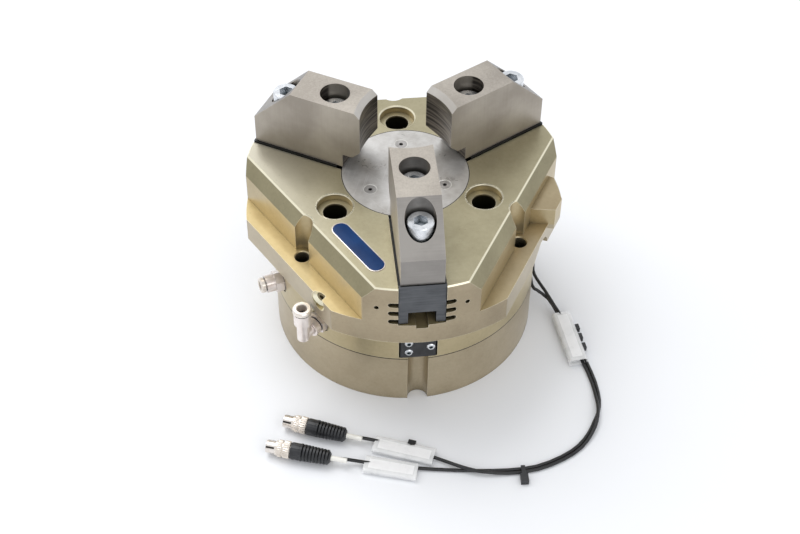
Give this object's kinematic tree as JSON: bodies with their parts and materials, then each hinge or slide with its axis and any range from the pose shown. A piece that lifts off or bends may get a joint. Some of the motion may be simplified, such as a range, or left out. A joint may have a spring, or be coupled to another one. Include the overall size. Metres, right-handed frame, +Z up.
{
  "type": "three jaw centric gripper",
  "caption": "Spring-assisted pneumatic centric gripper: a wedge hook under a round cover drives multi-tooth guided jaws, with stepped steel top jaws, air fittings and a pair of sensor cables",
  "frame": {"origin": "middle of the base cylinder's underside", "axes": "+Z up towards the jaws, jaw 1 towards -Y, jaws 2 and 3 at 30 and 150 degrees from +X"},
  "size_m": [0.218, 0.2478, 0.165],
  "materials": {
    "hard_anodised": "satin",
    "hard_anodised_base": "satin",
    "plain_aluminium": "satin",
    "dark_steel": "satin",
    "ground_steel": "satin",
    "hardened_steel": "satin",
    "zinc_steel": "satin",
    "spring_steel": "satin",
    "nitrile": "satin",
    "guide_band": "matte",
    "black_anodised": "satin",
    "sensor_brass": "satin",
    "nickel_brass": "satin",
    "nickel_ring": "satin",
    "blue_label": "satin",
    "black_cable": "satin",
    "white_tag": "matte",
    "black_nylon": "satin",
    "plug_black": "satin"
  },
  "bodies": {
    "gripper_body": {"housing": "hard_anodised", "base_cylinder": "hard_anodised_base", "base_bolts": "dark_steel", "dowel_pins": "ground_steel", "base_seal": "nitrile", "bottom_cover": "hard_anodised_base", "bottom_cover_screws": "zinc_steel", "bottom_cover_seal": "nitrile", "rod_seal": "nitrile", "closing_springs": "spring_steel", "center_cover": "plain_aluminium", "center_cover_screws": "zinc_steel", "sensor_bracket_front": "black_anodised", "sensor_bracket_rear": "black_anodised", "bracket_screws": "zinc_steel", "sensor_1": "sensor_brass", "sensor_2": "sensor_brass", "port_plug": "zinc_steel", "straight_fitting": "nickel_brass", "elbow_stem": "nickel_brass", "label": "blue_label", "sensor_cable_1": "black_cable", "sensor_cable_2": "black_cable", "cable_tag_1": "white_tag", "cable_tag_2": "white_tag", "cable_tag_3": "white_tag", "cable_ties": "black_nylon", "marker_sleeves": "white_tag", "plug_body_1": "plug_black", "plug_body_2": "plug_black", "plug_tip_1": "nickel_brass", "plug_tip_2": "nickel_brass"},
    "drive": {"piston": "plain_aluminium", "piston_seal": "nitrile", "piston_guide_ring": "guide_band", "piston_bolt": "dark_steel", "wedge_hook": "hardened_steel"},
    "jaw_1": {"base_jaw_1": "hardened_steel", "top_jaw_1": "ground_steel", "jaw_sleeves_1": "ground_steel", "jaw_screws_1": "zinc_steel"},
    "jaw_2": {"base_jaw_2": "hardened_steel", "top_jaw_2": "ground_steel", "jaw_sleeves_2": "ground_steel", "jaw_screws_2": "zinc_steel"},
    "jaw_3": {"base_jaw_3": "hardened_steel", "top_jaw_3": "ground_steel", "jaw_sleeves_3": "ground_steel", "jaw_screws_3": "zinc_steel"},
    "elbow": {"elbow_body": "nickel_brass"},
    "elbow_release": {"elbow_release_ring": "nickel_ring"},
    "straight_release": {"straight_release_ring": "nickel_ring"},
    "nut_1": {"plug_nut_1": "nickel_ring"},
    "nut_2": {"plug_nut_2": "nickel_ring"}
  },
  "joints": [
    {"name": "piston_slide", "type": "slide", "parent": "gripper_body", "child": "drive", "axis": [0, 0, -1], "range_m": [0, 0.02], "stiffness_N_per_m": 4000, "springref_m": -0.03, "deforming": ["closing_springs"]},
    {"name": "jaw_1_slide", "type": "slide", "parent": "gripper_body", "child": "jaw_1", "axis": [0, -1, 0], "range_m": [0, 0.012]},
    {"name": "jaw_2_slide", "type": "slide", "parent": "gripper_body", "child": "jaw_2", "axis": [0.866, 0.5, 0], "range_m": [0, 0.012]},
    {"name": "jaw_3_slide", "type": "slide", "parent": "gripper_body", "child": "jaw_3", "axis": [-0.866, 0.5, 0], "range_m": [0, 0.012]},
    {"name": "elbow_swivel", "type": "hinge", "parent": "gripper_body", "child": "elbow", "pos_m": [-0.06308, -0.06419, 0.053], "axis": [-0.7009, -0.7133, 0], "range_deg": [0, 290]},
    {"name": "elbow_release_push", "type": "slide", "parent": "elbow", "child": "elbow_release", "axis": [0, 0, -1], "range_m": [0, 0.0009], "stiffness_N_per_m": 2000, "springref_m": -0.0005},
    {"name": "straight_release_push", "type": "slide", "parent": "gripper_body", "child": "straight_release", "axis": [0.9588, 0.284, 0], "range_m": [0, 0.0009], "stiffness_N_per_m": 2000, "springref_m": -0.0005},
    {"name": "nut_1_spin", "type": "hinge", "parent": "gripper_body", "child": "nut_1", "pos_m": [-0.07545, -0.10406, 0.0056], "axis": [-0.9285, 0.3714, 0], "continuous": true},
    {"name": "nut_2_spin", "type": "hinge", "parent": "gripper_body", "child": "nut_2", "pos_m": [-0.08685, -0.12208, 0.0056], "axis": [-0.9483, 0.3173, 0], "continuous": true}
  ],
  "couplings": [
    {"joint": "jaw_1_slide", "follows": "piston_slide", "ratio": 0.6},
    {"joint": "jaw_2_slide", "follows": "piston_slide", "ratio": 0.6},
    {"joint": "jaw_3_slide", "follows": "piston_slide", "ratio": 0.6}
  ]
}
